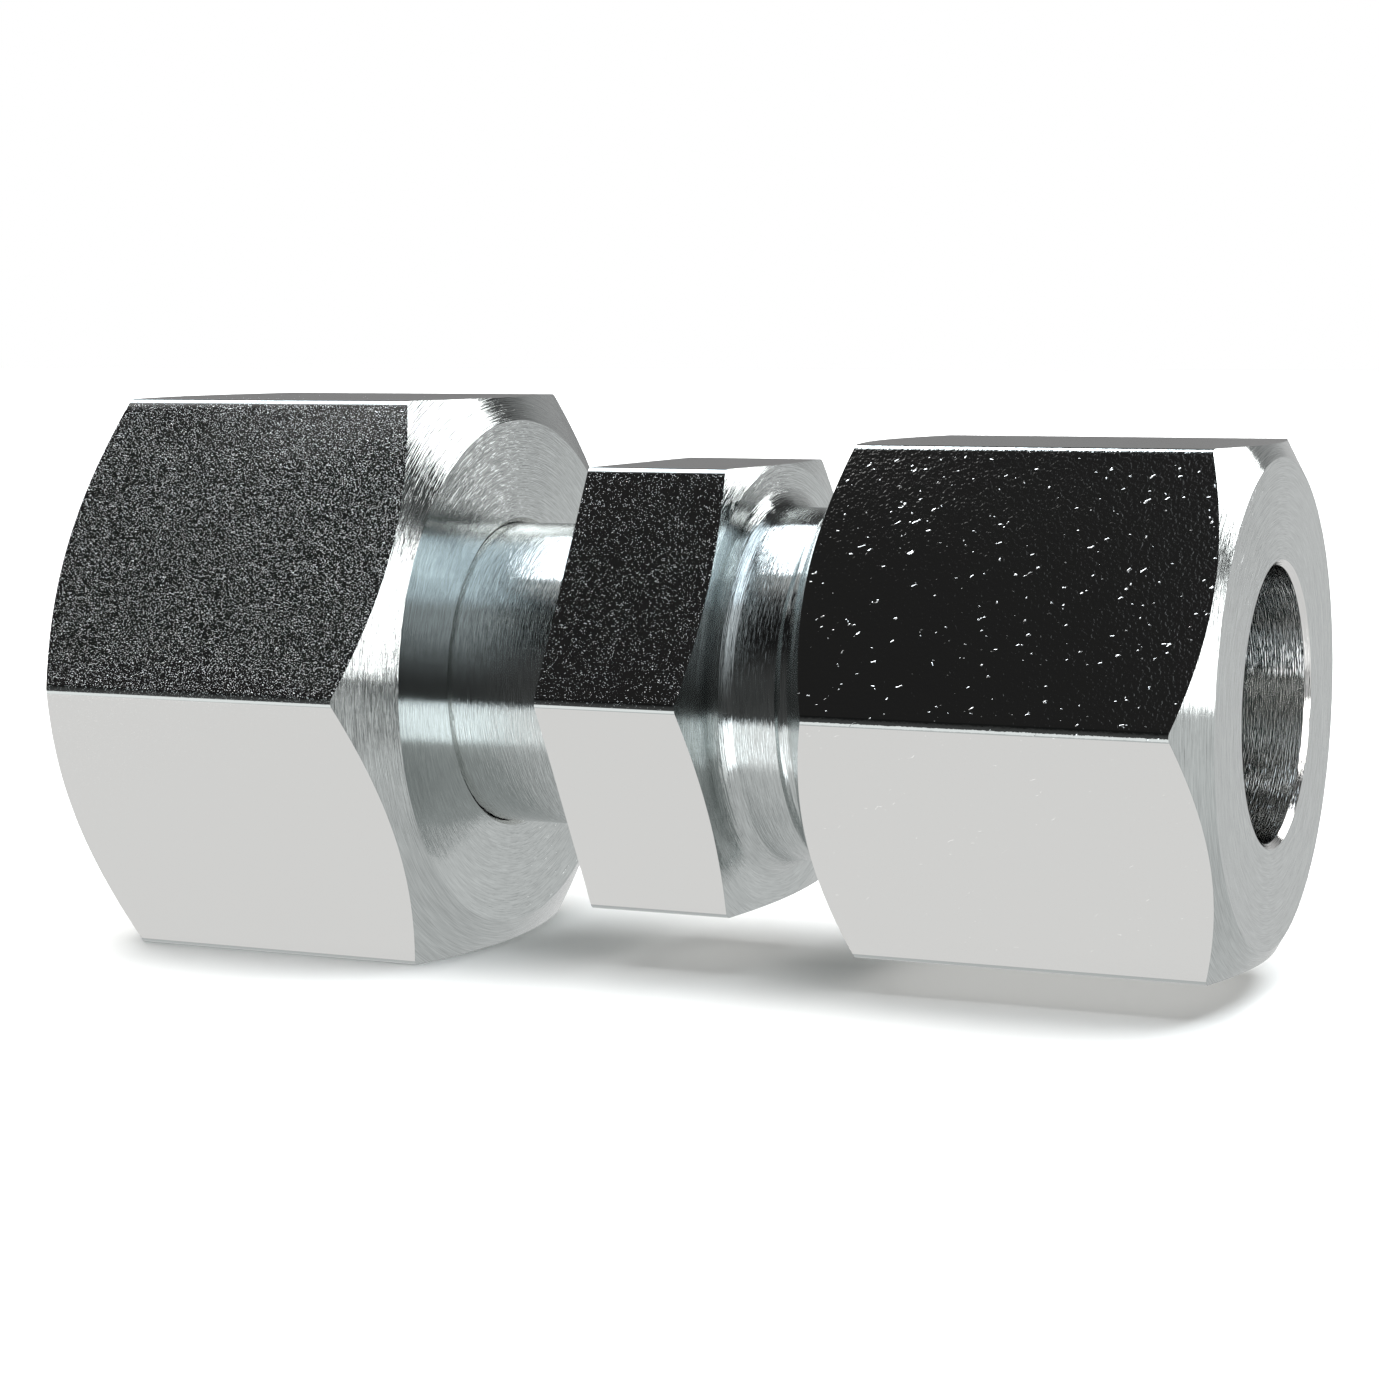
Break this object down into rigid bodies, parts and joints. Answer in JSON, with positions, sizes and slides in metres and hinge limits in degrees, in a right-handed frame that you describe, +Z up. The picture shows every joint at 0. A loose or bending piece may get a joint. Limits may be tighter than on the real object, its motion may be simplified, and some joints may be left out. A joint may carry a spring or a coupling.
{
  "type": "tube reducer",
  "caption": "Straight tube reducer: hexagon body with a plain tube end and a threaded cone end, each with a union nut over a cutting ring, joins tubes of different diameters.",
  "frame": {"origin": "centre of the tube stop, the flat floor of the socket in the cone end", "axes": "+X along the fitting from the plain tube end to the cone end, +Z up, square to a flat of each hexagon"},
  "size_m": [0.0474, 0.0254, 0.022],
  "materials": {
    "body_steel": "zinc-plated, turned and brushed",
    "large_nut_steel": "zinc-plated, cold-drawn hexagon flats, turned ends",
    "small_nut_steel": "zinc-plated, drawn hexagon flats with fine dents, turned ends",
    "ring_steel": "hardened and zinc-plated, turned"
  },
  "bodies": {
    "fitting": {"fitting_body": "body_steel"},
    "large_ring": {"large_cutting_ring": "ring_steel"},
    "large_nut": {"large_union_nut": "large_nut_steel"},
    "small_ring": {"small_cutting_ring": "ring_steel"},
    "small_nut": {"small_union_nut": "small_nut_steel"}
  },
  "joints": [
    {"name": "large_ring_slide", "type": "slide", "parent": "fitting", "child": "large_ring", "axis": [1, 0, 0], "range_m": [-0.013, 0.0054]},
    {"name": "large_nut_turn", "type": "hinge", "parent": "large_ring", "child": "large_nut", "pos_m": [-0.0232, 0, 0], "axis": [1, 0, 0], "continuous": true},
    {"name": "small_ring_slide", "type": "slide", "parent": "fitting", "child": "small_ring", "axis": [1, 0, 0], "range_m": [0, 0.00675]},
    {"name": "small_nut_turn", "type": "hinge", "parent": "small_ring", "child": "small_nut", "pos_m": [0.0077, 0, 0], "axis": [1, 0, 0], "range_deg": [0, 1620]}
  ],
  "couplings": [
    {"joint": "small_ring_slide", "follows": "small_nut_turn", "m_per_rad": 0.00023873}
  ]
}
